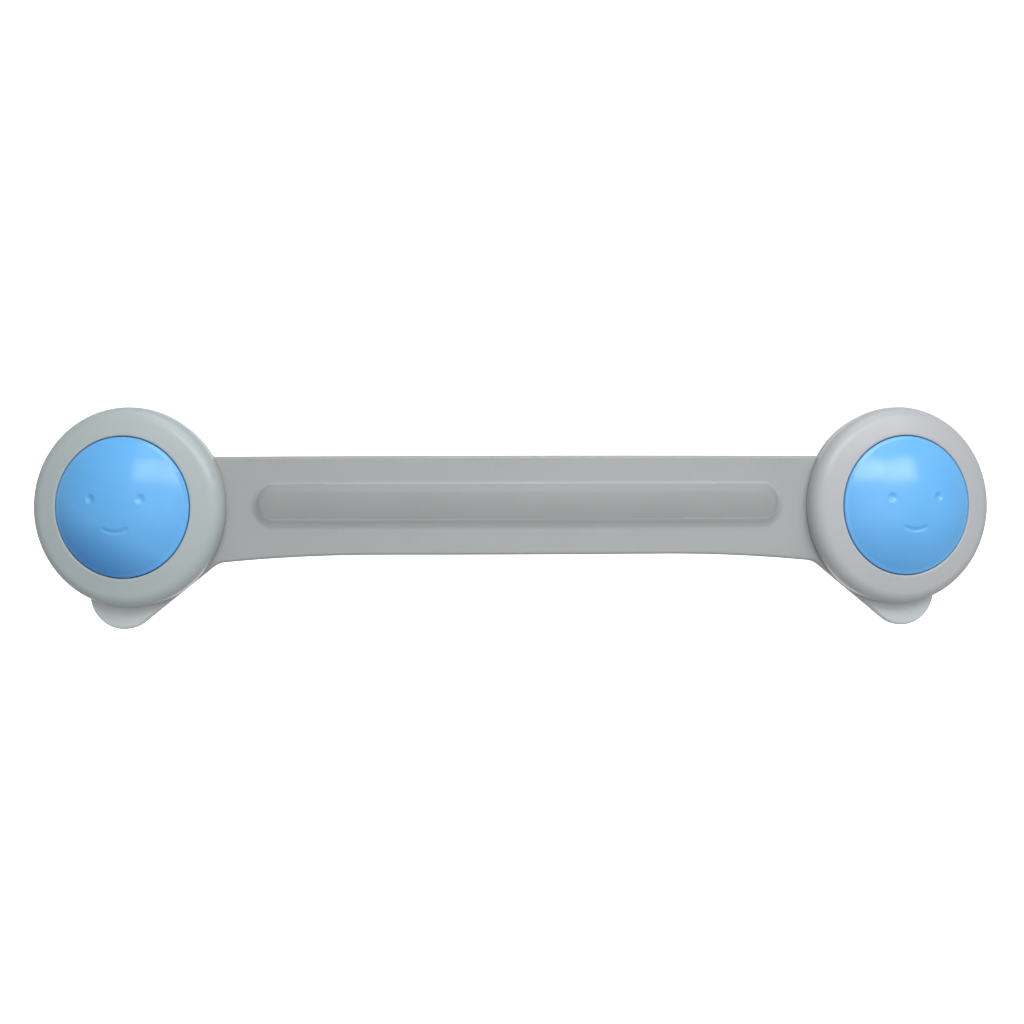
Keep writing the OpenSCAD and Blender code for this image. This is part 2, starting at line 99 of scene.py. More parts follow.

# How the two domes differ: a painted shade that dims all of the blue, stronger on the left dome, then gloss,
# and how much painted shade darkens each dome towards its lower left
PAINTED_SHADE_SCALE = {LEFT: 0.93, RIGHT: 0.985}
GLOSS = {LEFT: 0.34, RIGHT: 0.5}
PAINTED_SHADE_SHARE = {LEFT: 0.74, RIGHT: 0.22}
# Way and distances over which that painted shade deepens towards a dome's lower left
PAINTED_SHADE_WAY, PAINTED_SHADE_FROM, PAINTED_SHADE_FULL = (0.45, 0.89, 0), -4 * MM, -15 * MM

# Places that the frame gives: the adhesive faces, the tilt of the heads and the arc of the strap
MOUNTS = {m["name"]: m for m in frame["record"]["mounts"]}
HINGES = [j for j in frame["joints"] if j["name"].startswith("strap_flex")]
TILT = math.asin(abs(MOUNTS["left_pad"]["axis"][0]))
HINGE_STEP = 2 * TILT / len(HINGES)
FIRST_HINGE = TILT - HINGE_STEP / 2
ARC_R = abs(HINGES[0]["pos_m"][0]) / math.sin(FIRST_HINGE)
ARC_Y = HINGES[0]["pos_m"][1] + ARC_R * math.cos(FIRST_HINGE)
HEAD_Z = MOUNTS["left_pad"]["pos_m"][2]
ARC_HALF = ARC_R * TILT

# Strap, in flat lengths from the centre of a head towards the middle
ROOT_L = 24 * MM
HEAD_S = ARC_HALF + ROOT_L
STRAP_T = 2 * MM
STRAP_HIGH, STRAP_LOW = 10.05 * MM, 9.45 * MM
EDGE_R, EDGE_STEPS = 0.55 * MM, 6
STRAP_ROWS = 132
STATION, FINE_STATION = 1.0 * MM, 0.16 * MM
PLATE_R = 19.6 * MM
TONGUE_R, TONGUE_X, TONGUE_Y = 7.2 * MM, -1.9 * MM, -17.3 * MM
WEB_X, WEB_FLAT, FLARE = 18 * MM, 1 * MM, 1.6 * MM
FLARE_START = ROOT_L + ARC_R * math.sin(1.5 * HINGE_STEP)
FLARE_R = ((FLARE_START - WEB_X - WEB_FLAT) ** 2 + FLARE ** 2) / (2 * FLARE)
# Past the first of these distances from the middle the strap turns towards its paler end tone, painted light
# on the ends and tongues.
LIT_FROM_X, LIT_FULL_X = 68 * MM, 73.5 * MM

# Rib along the strap. Its darker tone sits a little higher and narrower than the rib itself
RIB_L, RIB_W, RIB_H, RIB_FLANK = 105 * MM, 7.4 * MM, 1.05 * MM, 0.65 * MM
RIB_UP, RIB_BLEND = 0.3 * MM, 2.2 * MM
RIB_TONE_UP, RIB_TONE_IN = 0.8 * MM, 0.3 * MM
SPINE_HALF = (RIB_L - RIB_W) / 2
RIB_RISE = RIB_H - RIB_FLANK
RIB_CROWN_R = (RIB_W ** 2 / 4 + RIB_RISE ** 2) / (2 * RIB_RISE)

# Stack of a head, outward from the adhesive face
BASE_Z, BASE_TOP, PLATE_Z, PLATE_TOP = 1 * MM, 3 * MM, 3.2 * MM, 5.2 * MM
CLIP_Z, POST_HEAD_Z, FLANGE_Z = 5.8 * MM, 6.4 * MM, 7.4 * MM
CAVITY_Z, SEAT_Z, COVER_TOP = 8.6 * MM, 10.05 * MM, 10.5 * MM
COVER_FOOT = PLATE_TOP + 0.3 * MM

# Round parts of a head: their radii, the height of the dome's centre and the cap's wall
HEAD_R, OPENING_R, CAVITY_R, SEAM_R = 20 * MM, 14.3 * MM, 18.2 * MM, 14.14 * MM
SHOULDER_R, CROWN_R = 3 * MM, 75 * MM
BUTTON_R, DOME_R, DOME_CZ = 14 * MM, 24.03 * MM, -9.23 * MM
CAP_WALL, CAP_RIM, FLANGE_R = 1.5 * MM, 0.5 * MM, 15.6 * MM
DOME_EDGE = BUTTON_R - CAP_RIM
PAD_R, BASE_R = 17.5 * MM, 18.6 * MM
ROUND = 256

# Where pieces meet: the ring's four pins, the base's two locating pins, the ring's keys and the gap at them
PIN_AT = 17.3 * MM / math.sqrt(2)
PINS = [(x, y) for x in (-PIN_AT, PIN_AT) for y in (-PIN_AT, PIN_AT)]
LOCATOR_X = 14.4 * MM
KEY_FROM, KEY_TO, KEY_HALF, KEY_GAP = 14.9 * MM, 18.6 * MM, 0.8 * MM, 0.3 * MM


def clean(bm, merge=1e-7):
    """Welds what meets and turns all the faces outward."""
    bmesh.ops.remove_doubles(bm, verts=bm.verts, dist=merge)
    bmesh.ops.recalc_face_normals(bm, faces=bm.faces)


def smooth_object(name, bm, material):
    """A smooth-shaded object in the scene, from a mesh under construction."""
    mesh = bpy.data.meshes.new(name)
    bm.to_mesh(mesh)
    bm.free()
    for face in mesh.polygons:
        face.use_smooth = True
    mesh.materials.append(material)
    made = bpy.data.objects.new(name, mesh)
    bpy.context.scene.collection.objects.link(made)
    return made


def new_piece(name, bm, material, sharp, matrix=None):
    """A piece of the lock, whose edges are sharp above an angle in degrees."""
    piece = smooth_object(name, bm, material)
    piece.data.set_sharp_from_angle(angle=math.radians(sharp))
    if matrix is not None:
        piece.matrix_world = matrix
    return piece


def arc_points(cx, cy, r, start, end, steps):
    """Points on an arc between two angles in degrees, both ends included."""
    angles = [math.radians(start + (end - start) * k / steps) for k in range(steps + 1)]
    return [(cx + r * math.cos(a), cy + r * math.sin(a)) for a in angles]


def circle_loop(cx, cy, r, steps):
    """Points once round a circle."""
    return arc_points(cx, cy, r, 0, 360, steps)[:-1]


def fillet(points, steps):
    """A closed outline from corners (x, y, radius), each rounded by an arc of its radius."""
    out = []
    for k, (x, y, r) in enumerate(points):
        here = Vector((x, y))
        back = Vector(points[k - 1][:2]) - here
        ahead = Vector(points[(k + 1) % len(points)][:2]) - here
        if r <= 0:
            out.append((x, y))
            continue
        half = back.angle(ahead) / 2
        reach = r / math.tan(half)
        centre = here + (back.normalized() + ahead.normalized()).normalized() * (r / math.sin(half))
        first, last = here + back.normalized() * reach, here + ahead.normalized() * reach
        a0 = math.atan2(first.y - centre.y, first.x - centre.x)
        turn = math.atan2(last.y - centre.y, last.x - centre.x) - a0
        turn = (turn + math.pi) % TURN - math.pi
        for i in range(steps + 1):
            a = a0 + turn * i / steps
            out.append((centre.x + r * math.cos(a), centre.y + r * math.sin(a)))
    return out


def bridge(bm, here, after, closed=True):
    """Faces between two rows of vertices of the same length, each row a closed loop or an open line."""
    faces = []
    for k in range(len(here) if closed else len(here) - 1):
        n = (k + 1) % len(here)
        faces.append(bm.faces.new([here[k], here[n], after[n], after[k]]))
    return faces


def lathe(bm, profile, steps=ROUND, centre=(0, 0)):
    """Revolves a closed profile of (r, z) round the Z axis. Points on the axis become one vertex."""
    columns = []
    for r, z in profile:
        if r < 1e-9:
            columns.append([bm.verts.new((centre[0], centre[1], z))])
            continue
        ring = []
        for k in range(steps):
            a = TURN * k / steps
            ring.append(bm.verts.new((centre[0] + r * math.cos(a), centre[1] + r * math.sin(a), z)))
        columns.append(ring)
    for i, here in enumerate(columns):
        after = columns[(i + 1) % len(columns)]
        if len(here) == 1 and len(after) == 1:
            continue
        for k in range(steps):
            n = (k + 1) % steps
            corners = [here[k % len(here)], here[n % len(here)], after[n % len(after)], after[k % len(after)]]
            bm.faces.new(list(dict.fromkeys(corners)))


def prism(bm, outline, low, high, place, bevel):
    """A bevelled prism: outline in its own plane, low and high across it, place maps both to a point."""
    middle = Vector((sum(p[0] for p in outline), sum(p[1] for p in outline))) / len(outline)
    rings = []
    for across, inset in ((low, bevel), (low + bevel, 0), (high - bevel, 0), (high, bevel)):
        ring = []
        for x, y in outline:
            p = Vector((x, y))
            p += (middle - p).normalized() * inset
            ring.append(bm.verts.new(place(p.x, p.y, across)))
        rings.append(ring)
    for here, after in zip(rings, rings[1:]):
        bridge(bm, here, after)
    bm.faces.new(rings[0])
    bm.faces.new(rings[-1])


def block(bm, low, high):
    """A small box between two corners, with softened edges."""
    bevel = 0.12 * MM
    (x0, y0, z0), (x1, y1, z1) = low, high
    outline = fillet([(x0, y0, bevel), (x1, y0, bevel), (x1, y1, bevel), (x0, y1, bevel)], 3)
    prism(bm, outline, z0, z1, lambda x, y, z: (x, y, z), bevel)


def tube(bm, path, radius, sides=14):
    """A round wire along a path of points, closed at both ends."""
    rings = []
    up = Vector((0, 0, 1))
    for k, p in enumerate(path):
        before, after = path[max(k - 1, 0)], path[min(k + 1, len(path) - 1)]
        along = (after - before).normalized()
        side = along.cross(up).normalized()
        rise = side.cross(along).normalized()
        ring = []
        for j in range(sides):
            a = TURN * j / sides
            ring.append(bm.verts.new(p + radius * (math.cos(a) * side + math.sin(a) * rise)))
        rings.append(ring)
    for here, after in zip(rings, rings[1:]):
        bridge(bm, here, after)
    bm.faces.new(rings[0])
    bm.faces.new(rings[-1])


class Shader:
    """A node material with one Principled shader, built by short calls."""

    def __init__(self, name, **values):
        self.material = bpy.data.materials.new(name)
        self.material.use_nodes = True
        self.nodes = self.material.node_tree.nodes
        self.links = self.material.node_tree.links
        self.shader = self.nodes["Principled BSDF"]
        self.where = self.add("ShaderNodeTexCoord").outputs["Object"]
        for label, value in values.items():
            self.shader.inputs[label.replace("_", " ")].default_value = value

    def add(self, kind, **values):
        """A node of a kind, with its settings."""
        node = self.nodes.new(kind)
        for label, value in values.items():
            setattr(node, label, value)
        return node

    def calc(self, kind, operation, *values):
        """Outputs of a maths node, fed in order by sockets or plain values."""
        node = self.add(kind, operation=operation)
        for socket, value in zip(node.inputs, values):
            if isinstance(value, bpy.types.NodeSocket):
                self.links.new(value, socket)
            else:
                socket.default_value = value
        return node.outputs

    def part(self, axis):
        """One coordinate of the place that is shaded."""
        node = self.add("ShaderNodeSeparateXYZ")
        self.links.new(self.where, node.inputs[0])
        return node.outputs[axis]

    def noise(self, size, detail=3, roughness=0.5, stretch=(1, 1, 1)):
        """Noise whose features are about this size in metres."""
        place = self.add("ShaderNodeMapping")
        place.inputs["Scale"].default_value = stretch
        self.links.new(self.where, place.inputs["Vector"])
        node = self.add("ShaderNodeTexNoise")
        node.inputs["Scale"].default_value = 1 / size
        node.inputs["Detail"].default_value = detail
        node.inputs["Roughness"].default_value = roughness
        self.links.new(place.outputs["Vector"], node.inputs["Vector"])
        return node.outputs["Fac"]

    def spread(self, value, low, high, out_low, out_high):
        """Maps a range of one value to another range."""
        node = self.add("ShaderNodeMapRange")
        self.links.new(value, node.inputs["Value"])
        limits = {"From Min": low, "From Max": high, "To Min": out_low, "To Max": out_high}
        for label, number in limits.items():
            node.inputs[label].default_value = number
        return node.outputs["Result"]

    def patches(self, size, low, high, share=1, **noise):
        """Soft patches of about a size: 0 where the noise is under low, rising to share above high."""
        return self.spread(self.noise(size, **noise), low, high, 0, share)

    def edges(self, low, high, share):
        """Rises to share along worn convex edges, 0 elsewhere."""
        point = self.add("ShaderNodeNewGeometry").outputs["Pointiness"]
        return self.spread(point, low, high, 0, share)

    def mix(self, factor, a, b):
        """Mixes two colours, each a value or a socket, by a factor."""
        node = self.add("ShaderNodeMix", data_type="RGBA")
        colour_a, colour_b, result = node.inputs[6], node.inputs[7], node.outputs[2]
        self.links.new(factor, node.inputs["Factor"])
        for socket, colour in ((colour_a, a), (colour_b, b)):
            if isinstance(colour, tuple):
                socket.default_value = (*colour, 1)
            else:
                self.links.new(colour, socket)
        return result

    def bump(self, height, distance, strength=1, after=None):
        """A normal bent by a height, on top of an earlier bump where one is given."""
        node = self.add("ShaderNodeBump")
        node.inputs["Distance"].default_value = distance
        node.inputs["Strength"].default_value = strength
        self.links.new(height, node.inputs["Height"])
        if after is not None:
            self.links.new(after, node.inputs["Normal"])
        return node.outputs["Normal"]

    def set(self, label, socket):
        """Feeds one input of the Principled shader."""
        self.links.new(socket, self.shader.inputs[label])

    def wander(self, size, low, high, **noise):
        """Lets the roughness go from low to high as the noise goes from 0.3 to 0.7."""
        self.set("Roughness", self.spread(self.noise(size, **noise), 0.3, 0.7, low, high))


def moulded_plastic(name, tone, shade, rough, grain, grain_depth, gloss, worn_edges=False, tongue=None):
    """Satin moulded plastic: faint clouding, flow marks, a fine eroded grain and some paler worn places. A
    tongue tone, where one is given, is painted light that makes the ends of the strap paler.
    Its roughness is kept at 0.28 or more, because the denoiser leaves marks where it crosses about 0.27."""
    m = Shader(name, Specular_IOR_Level=gloss)
    cloud = m.patches(14 * MM, 0.35, 0.65, detail=3)
    flow = m.patches(5 * MM, 0.4, 0.62, 0.45, detail=4, roughness=0.6, stretch=(0.35, 1, 1))
    colour = m.mix(flow, m.mix(cloud, shade, tone), tone)
    # Painted light: paler towards the strap's ends, where the rings shade the tongues.
    if tongue:
        beside = m.calc("ShaderNodeMath", "ABSOLUTE", m.part("X"))[0]
        colour = m.mix(m.spread(beside, LIT_FROM_X, LIT_FULL_X, 0, 1), colour, tongue)
    pale = tuple(min(1, c * 1.12 + 0.02) for c in tone)
    if worn_edges:
        worn = m.edges(0.51, 0.6, 0.4)
    else:
        worn = m.patches(2 * MM, 0.6, 0.8, 0.4, detail=5, roughness=0.7)
    m.set("Base Color", m.mix(worn, colour, pale))
    m.wander(3 * MM, rough - 0.01, rough + 0.07, detail=4, roughness=0.6)
    fine = m.bump(m.noise(grain, detail=2, roughness=0.55), grain_depth, strength=0.6)
    m.set("Normal", m.bump(m.noise(9 * MM, detail=2), 0.05 * MM, 0.35, after=fine))
    return m.material


def glossy_button(side):
    """Glossy blue plastic, with painted shade that dims the left dome more and deepens each dome's lower
    left, a fine polishing haze and faint rub marks.
    """
    # Every blue is dimmed per side, painted shade that is stronger on the left dome.
    blues = (BLUE, BLUE_SHADE, BLUE_EDGE, BLUE_PAINTED_SHADE)
    tone, shade, edge, painted_shade_tone = [tuple(c * PAINTED_SHADE_SCALE[side] for c in blue) for blue in blues]
    m = Shader(f"button_blue_{SIDE_NAME[side]}", IOR=1.49, Specular_IOR_Level=GLOSS[side],
               Coat_Weight=0.14, Coat_Roughness=0.14, Coat_IOR=1.5)
    cloud = m.patches(10 * MM, 0.35, 0.65, detail=2)
    # Painted shade: the blue turns deeper towards the dome's lower left.
    slant = m.calc("ShaderNodeVectorMath", "DOT_PRODUCT", m.where, PAINTED_SHADE_WAY)["Value"]
    low = m.spread(slant, PAINTED_SHADE_FROM, PAINTED_SHADE_FULL, 0, PAINTED_SHADE_SHARE[side])
    colour = m.mix(low, m.mix(cloud, shade, tone), painted_shade_tone)
    m.set("Base Color", m.mix(m.edges(0.56, 0.7, 0.3), colour, edge))
    m.wander(2.5 * MM, 0.20, 0.27, stretch=(1, 0.6, 1))
    ripple = m.bump(m.noise(4.5 * MM, detail=2), 0.05 * MM, 0.32)
    m.set("Normal", m.bump(m.noise(0.28 * MM, detail=2), 0.002 * MM, 0.4, after=ripple))
    return m.material


def foam():
    """Closed-cell foam: rounded cells, off-white, with a little grime in soft patches."""
    cell = 0.35 * MM
    m = Shader("pad_foam", Roughness=0.85, Specular_IOR_Level=0.25, Sheen_Weight=0.1)
    cells = m.add("ShaderNodeTexVoronoi", feature="SMOOTH_F1")
    cells.inputs["Scale"].default_value = 1 / cell
    m.links.new(m.where, cells.inputs["Vector"])
    pale = m.mix(m.patches(4 * MM, 0.45, 0.75, 0.5, detail=4), FOAM, FOAM_GRIME)
    walls = m.spread(cells.outputs["Distance"], 0.2, 0.8, 0, 0.35)
    m.set("Base Color", m.mix(walls, pale, FOAM_CELL))
    m.set("Normal", m.bump(cells.outputs["Distance"], 0.08 * MM, 0.7))
    return m.material


def film():
    """Acrylic adhesive film: slightly yellow, wet-looking, with a faint ripple from its liner."""
    m = Shader("adhesive_film", Coat_Weight=0.5, Coat_Roughness=0.2)
    m.set("Base Color", m.mix(m.patches(6 * MM, 0.35, 0.7, detail=4), FILM, FILM_SHADE))
    m.wander(1.5 * MM, 0.3, 0.46, detail=4)
    m.set("Normal", m.bump(m.noise(2.2 * MM, detail=3, roughness=0.6), 0.05 * MM, 0.5))
    return m.material


def steel(name, tone, rough, turned):
    """Plated steel: fine rings from turning, or drawing lines along a wire."""
    ring_pitch = 0.9 * MM
    m = Shader(name, Metallic=1.0)
    spots = m.patches(1.8 * MM, 0.4, 0.72, 0.5, detail=4)
    m.set("Base Color", m.mix(spots, tone, tuple(c * 0.78 for c in tone)))
    m.wander(0.7 * MM, rough - 0.06, rough + 0.1, detail=4)
    if turned:
        rings = m.add("ShaderNodeTexWave", wave_type="RINGS", rings_direction="Z")
        rings.inputs["Scale"].default_value = 1 / ring_pitch
        rings.inputs["Distortion"].default_value = 0.4
        m.links.new(m.where, rings.inputs["Vector"])
        m.set("Normal", m.bump(rings.outputs["Fac"], 0.006 * MM, 0.5))
    else:
        m.set("Normal", m.bump(m.noise(0.5 * MM, detail=4, roughness=0.6), 0.008 * MM, 0.5))
    return m.material


def make_camera():
    """Camera at the photograph's viewing angle."""
    data = bpy.data.cameras.new("camera")
    data.sensor_width = SENSOR
    data.lens = SENSOR * FOCAL_PIXELS / IMAGE_WIDTH
    data.clip_start, data.clip_end = 0.01, 20
    camera = bpy.data.objects.new("camera", data)
    bpy.context.scene.collection.objects.link(camera)
    yaw, pitch, roll = (math.radians(a) for a in (CAMERA_YAW, CAMERA_PITCH, CAMERA_ROLL))
    turn = (Matrix.Rotation(-yaw, 4, "Z") @ Matrix.Rotation(math.pi / 2 + pitch, 4, "X")
            @ Matrix.Rotation(roll, 4, "Z"))
    camera.matrix_world = Matrix.Translation(CAMERA_AT) @ turn
    bpy.context.scene.camera = camera


def sweep_white():
    """White of the sweep, with its bright patch behind the lock and the glow of the floor in front."""
    m = Shader("sweep_white", Roughness=0.9, Emission_Color=(1, 1, 1, 1))
    m.set("Base Color", m.mix(m.noise(0.4, detail=2), FLOOR_TONE, FLOOR_SHADE))
    flat = m.calc("ShaderNodeVectorMath", "MULTIPLY", m.where, (1, 0, 1))["Vector"]
    away = m.calc("ShaderNodeVectorMath", "DISTANCE", flat, PATCH_AT)["Value"]
    patch = m.spread(away, PATCH_R, PATCH_RIM, PATCH_GLOW, 0)
    on_wall = m.spread(m.part("Y"), PATCH_FROM_Y, PATCH_FULL_Y, 0, 1)
    behind = m.calc("ShaderNodeMath", "MULTIPLY", patch, on_wall)[0]
    ahead = m.spread(m.part("Y"), FLOOR_GLOW_FROM_Y, FLOOR_GLOW_FULL_Y, 0, FLOOR_GLOW)
    m.set("Emission Strength", m.calc("ShaderNodeMath", "ADD", behind, ahead)[0])
    return m.material


def make_sweep():
    """White floor that bends up into a wall behind the lock."""
    line = [(-SWEEP_REACH, FLOOR_Z), (WALL_Y - WALL_BEND, FLOOR_Z)]
    line += arc_points(WALL_Y - WALL_BEND, FLOOR_Z + WALL_BEND, WALL_BEND, -90, 0, 16)[1:]
    line += [(WALL_Y, SWEEP_REACH)]
    bm = bmesh.new()
    rows = [[bm.verts.new((x, y, z)) for x in (-SWEEP_SIDE, 0, SWEEP_SIDE)] for y, z in line]
    for here, after in zip(rows, rows[1:]):
        bridge(bm, here, after, closed=False)
    sweep = smooth_object("sweep", bm, sweep_white())


def area_light(name, at, size, power, spread=90, glossy=True):
    """A rectangular soft light that faces the lock. One that isn't glossy leaves no reflection."""
    data = bpy.data.lights.new(name, "AREA")
    data.shape = "RECTANGLE"
    data.size, data.size_y = size
    data.energy = power
    data.spread = math.radians(spread)
    lamp = bpy.data.objects.new(name, data)
    lamp.visible_glossy = glossy
    lamp.location = at
    lamp.rotation_mode = "QUATERNION"
    lamp.rotation_quaternion = Vector(at).to_track_quat("Z", "Y")
    bpy.context.scene.collection.objects.link(lamp)


def make_world():
    """Even fill all round, brighter from the front."""
    world = bpy.data.worlds.new("world")
    world.use_nodes = True
    nodes, links = world.node_tree.nodes, world.node_tree.links
    fill = nodes["Background"]
    fill.inputs["Color"].default_value = FILL_TINT
    ahead = nodes.new("ShaderNodeVectorMath")
    ahead.operation = "DOT_PRODUCT"
    links.new(nodes.new("ShaderNodeTexCoord").outputs["Generated"], ahead.inputs[0])
    ahead.inputs[1].default_value = FRONT_WAY
    ramp = nodes.new("ShaderNodeMapRange")
    links.new(ahead.outputs["Value"], ramp.inputs["Value"])
    limits = {"From Min": FRONT_RIM, "From Max": FRONT_CORE, "To Min": FILL, "To Max": FILL + FRONT_FILL}
    for label, number in limits.items():
        ramp.inputs[label].default_value = number
    links.new(ramp.outputs["Result"], fill.inputs["Strength"])
    bpy.context.scene.world = world


def make_stage():
    """White sweep, two soft boxes high in front, whose gleam shows on the domes, a wide front light, a top
    light and the fill."""
    make_sweep()
    area_light("box_left", at=(-0.05, -0.60, 0.44), size=(0.50, 0.30), power=0.53)
    area_light("box_right", at=(0.395, -0.58, 0.43), size=(0.50, 0.30), power=0.53)
    area_light("front", at=(0.15, -0.85, 0.06), size=(1.30, 0.90), power=1.0, glossy=False)
    area_light("top", at=(0.05, -0.20, 0.80), size=(0.70, 0.50), power=0.33, spread=60)
    make_world()
    bpy.context.scene.view_settings.view_transform = "Standard"


def head_matrix(side):
    """Head frame: X to the right along the head, Y up, Z out of the adhesive face."""
    mount = MOUNTS[SIDE_NAME[side] + "_pad"]
    out = -Vector(mount["axis"])
    up = Vector((0, 0, 1))
    turn = Matrix((up.cross(out), up, out)).transposed().to_4x4()
    return Matrix.Translation(mount["pos_m"]) @ turn


def bent(s, v, w):
    """A point of the strap from flat lengths: s along it from its middle, v up, w out of its mid plane."""
    angle = max(-TILT, min(TILT, s / ARC_R))
    rest = s - angle * ARC_R
    x = (ARC_R + w) * math.sin(angle) + rest * math.cos(angle)
    y = ARC_Y - (ARC_R + w) * math.cos(angle) + rest * math.sin(angle)
    return Vector((x, y, HEAD_Z + v))


def from_spine(s, v):
    """Distance of a place from the rib's spine, a straight line along the strap."""
    return math.hypot(max(abs(s) - SPINE_HALF, 0), v - RIB_UP)


def rib_height(s, v):
    """How far the rib stands over the strap at a place."""
    away = from_spine(s, v)
    edge = max(0, min(1, (RIB_W / 2 + RIB_BLEND / 2 - away) / RIB_BLEND))
    if edge == 0:
        return 0
    inner = min(away, RIB_W / 2)
    crown = math.sqrt(RIB_CROWN_R ** 2 - inner ** 2) - (RIB_CROWN_R - RIB_RISE)
    return edge * edge * (3 - 2 * edge) * (RIB_FLANK + crown)


def on_rib(s, v):
    """Whether a place has the rib's darker tone."""
    return from_spine(s, v - RIB_TONE_UP) < RIB_W / 2 - RIB_TONE_IN


def low_edge(s):
    """Height of the strap's lower edge, which falls away towards the heads."""
    from_head = HEAD_S - abs(s)
    short = max(0, min(FLARE_START - from_head, FLARE_START - WEB_X - WEB_FLAT))
    return -STRAP_LOW - FLARE_R + math.sqrt(FLARE_R ** 2 - short ** 2)


def edge_profile():
    """Inset and height of the rounded edge, from the back face round to the front face."""
    half = STRAP_T / 2
    back = [(EDGE_R - EDGE_R * math.sin(a), -half + EDGE_R - EDGE_R * math.cos(a))
            for a in (math.pi / 2 * k / EDGE_STEPS for k in range(EDGE_STEPS + 1))]
    return back + [(inset, -z) for inset, z in reversed(back)]


def stations(s0, s1):
    """Places along the strap, close together round the ends of the rib."""
    fine_from, fine_to = SPINE_HALF - 0.5 * MM, RIB_L / 2 + RIB_BLEND / 2
    tiny, shortest = 1e-9, 0.03 * MM
    out = [s0]
    while out[-1] < s1 - tiny:
        near = fine_from < abs(out[-1] + tiny) < fine_to
        out.append(min(out[-1] + (FINE_STATION if near else STATION), s1))
    if out[-1] - out[-2] < shortest:
        out.pop(-2)
    return out


def strap_ring(bm, s):
    """One closed loop of vertices round the strap at s, starting at the front face's lower edge."""
    low, high = low_edge(s), STRAP_HIGH
    profile = edge_profile()[1:-1]
    rows = [low + EDGE_R + (high - low - 2 * EDGE_R) * k / STRAP_ROWS for k in range(STRAP_ROWS + 1)]
    half = STRAP_T / 2
    ring = [bent(s, v, half + rib_height(s, v)) for v in rows]
    ring += [bent(s, high - inset, -z) for inset, z in profile]
    ring += [bent(s, v, -half) for v in reversed(rows)]
    ring += [bent(s, low + inset, z) for inset, z in profile]
    return [bm.verts.new(p) for p in ring]


def cap_ring(bm, ring):
    """Closes a strap cut: strips between the front and the back rows, and the two rounded edges."""
    back = STRAP_ROWS + 2 * EDGE_STEPS + 1
    end = back + STRAP_ROWS
    for k in range(STRAP_ROWS):
        bm.faces.new([ring[k], ring[k + 1], ring[end - k - 1], ring[end - k]])
    bm.faces.new(ring[STRAP_ROWS:back + 1])
    bm.faces.new(ring[end:] + [ring[0]])


def strap_stretch(bm, s0, s1, closed_ends):
    """The bowed strap between two places, with the rib's faces in the second material."""
    places = stations(s0, s1)
    rings = [strap_ring(bm, s) for s in places]
    for i, (here, after) in enumerate(zip(rings, rings[1:])):
        middle = (places[i] + places[i + 1]) / 2
        faces = bridge(bm, here, after)
        for k in range(STRAP_ROWS):
            if on_rib(middle, (here[k].co.z + here[k + 1].co.z) / 2 - HEAD_Z):
                faces[k].material_index = 1
    for which in closed_ends:
        cap_ring(bm, rings[which])


def plate_outline():
    """Free edge of an end plate, in lengths from the head's centre towards the middle: from the root's
    upper corner round the plate and the tongue, along the web to the root's lower corner."""
    join_x = math.sqrt(PLATE_R ** 2 - STRAP_HIGH ** 2)
    top_angle = math.degrees(math.atan2(STRAP_HIGH, join_x))
    away = math.hypot(TONGUE_X, TONGUE_Y)
    towards = math.degrees(math.atan2(TONGUE_Y, TONGUE_X))
    spread = math.degrees(math.acos((away ** 2 + PLATE_R ** 2 - TONGUE_R ** 2) / (2 * away * PLATE_R)))
    meet = towards % 360 - spread
    cross = (PLATE_R * math.cos(math.radians(meet)), PLATE_R * math.sin(math.radians(meet)))
    tongue_from = math.degrees(math.atan2(cross[1] - TONGUE_Y, cross[0] - TONGUE_X)) % 360
    corner = Vector((WEB_X, -STRAP_LOW - FLARE))
    reach = corner - Vector((TONGUE_X, TONGUE_Y))
    touch = math.degrees(math.atan2(reach.y, reach.x) - math.acos(TONGUE_R / reach.length)) % 360
    # The lines and arcs stop a little before each corner between them, so that it comes out blunt
    line = [(ROOT_L, STRAP_HIGH), (join_x + 0.3 * MM, STRAP_HIGH)]
    line += arc_points(0, 0, PLATE_R, top_angle + 0.6, meet - 1, 110)
    line += arc_points(TONGUE_X, TONGUE_Y, TONGUE_R, tongue_from + 2, touch, 60)
    tip, soft = Vector(line[-1]), 1.6 * MM
    before = corner - (corner - tip).normalized() * soft
    after = Vector((WEB_X + soft, low_edge(HEAD_S - WEB_X - soft)))
    line += [tuple(tip.lerp(before, k / 8)) for k in range(1, 9)]
    for t in (k / 7 for k in range(1, 7)):
        line.append(tuple(before * (1 - t) ** 2 + corner * 2 * t * (1 - t) + after * t * t))
    line.append(tuple(after))
    x = after.x
    while x < ROOT_L - 1.3 * STATION:
        x += STATION
        line.append((x, low_edge(HEAD_S - x)))
    line.append((ROOT_L, low_edge(HEAD_S - ROOT_L)))
    return line


def plate_holes():
    """Openings through an end plate: the post's with its finger slots, two locating holes, four for pins."""
    post_r, locator_r, pin_r = 4.0 * MM, 1.9 * MM, 1.15 * MM
    wide, near, far, soft = 3.41 * MM, 3.9 * MM, 6.1 * MM, 0.2 * MM
    cut = 60
    blunt = post_r * math.cos(math.radians(cut)) + 0.15 * MM
    slot = [(blunt, near, 0), (wide, near, soft), (wide, far, soft)]
    slot += [(-x, y, r) for x, y, r in reversed(slot)]
    middle = []
    for way, start in ((1, -cut), (-1, 180 - cut)):
        middle += [(x, y, 0) for x, y in arc_points(0, 0, post_r, start, start + 2 * cut, 32)]
        middle += [(way * x, way * y, r) for x, y, r in slot]
    holes = [fillet(middle, 4)]
    holes += [circle_loop(x, 0, locator_r, 40) for x in (-LOCATOR_X, LOCATOR_X)]
    holes += [circle_loop(x, y, pin_r, 32) for x, y in PINS]
    return holes


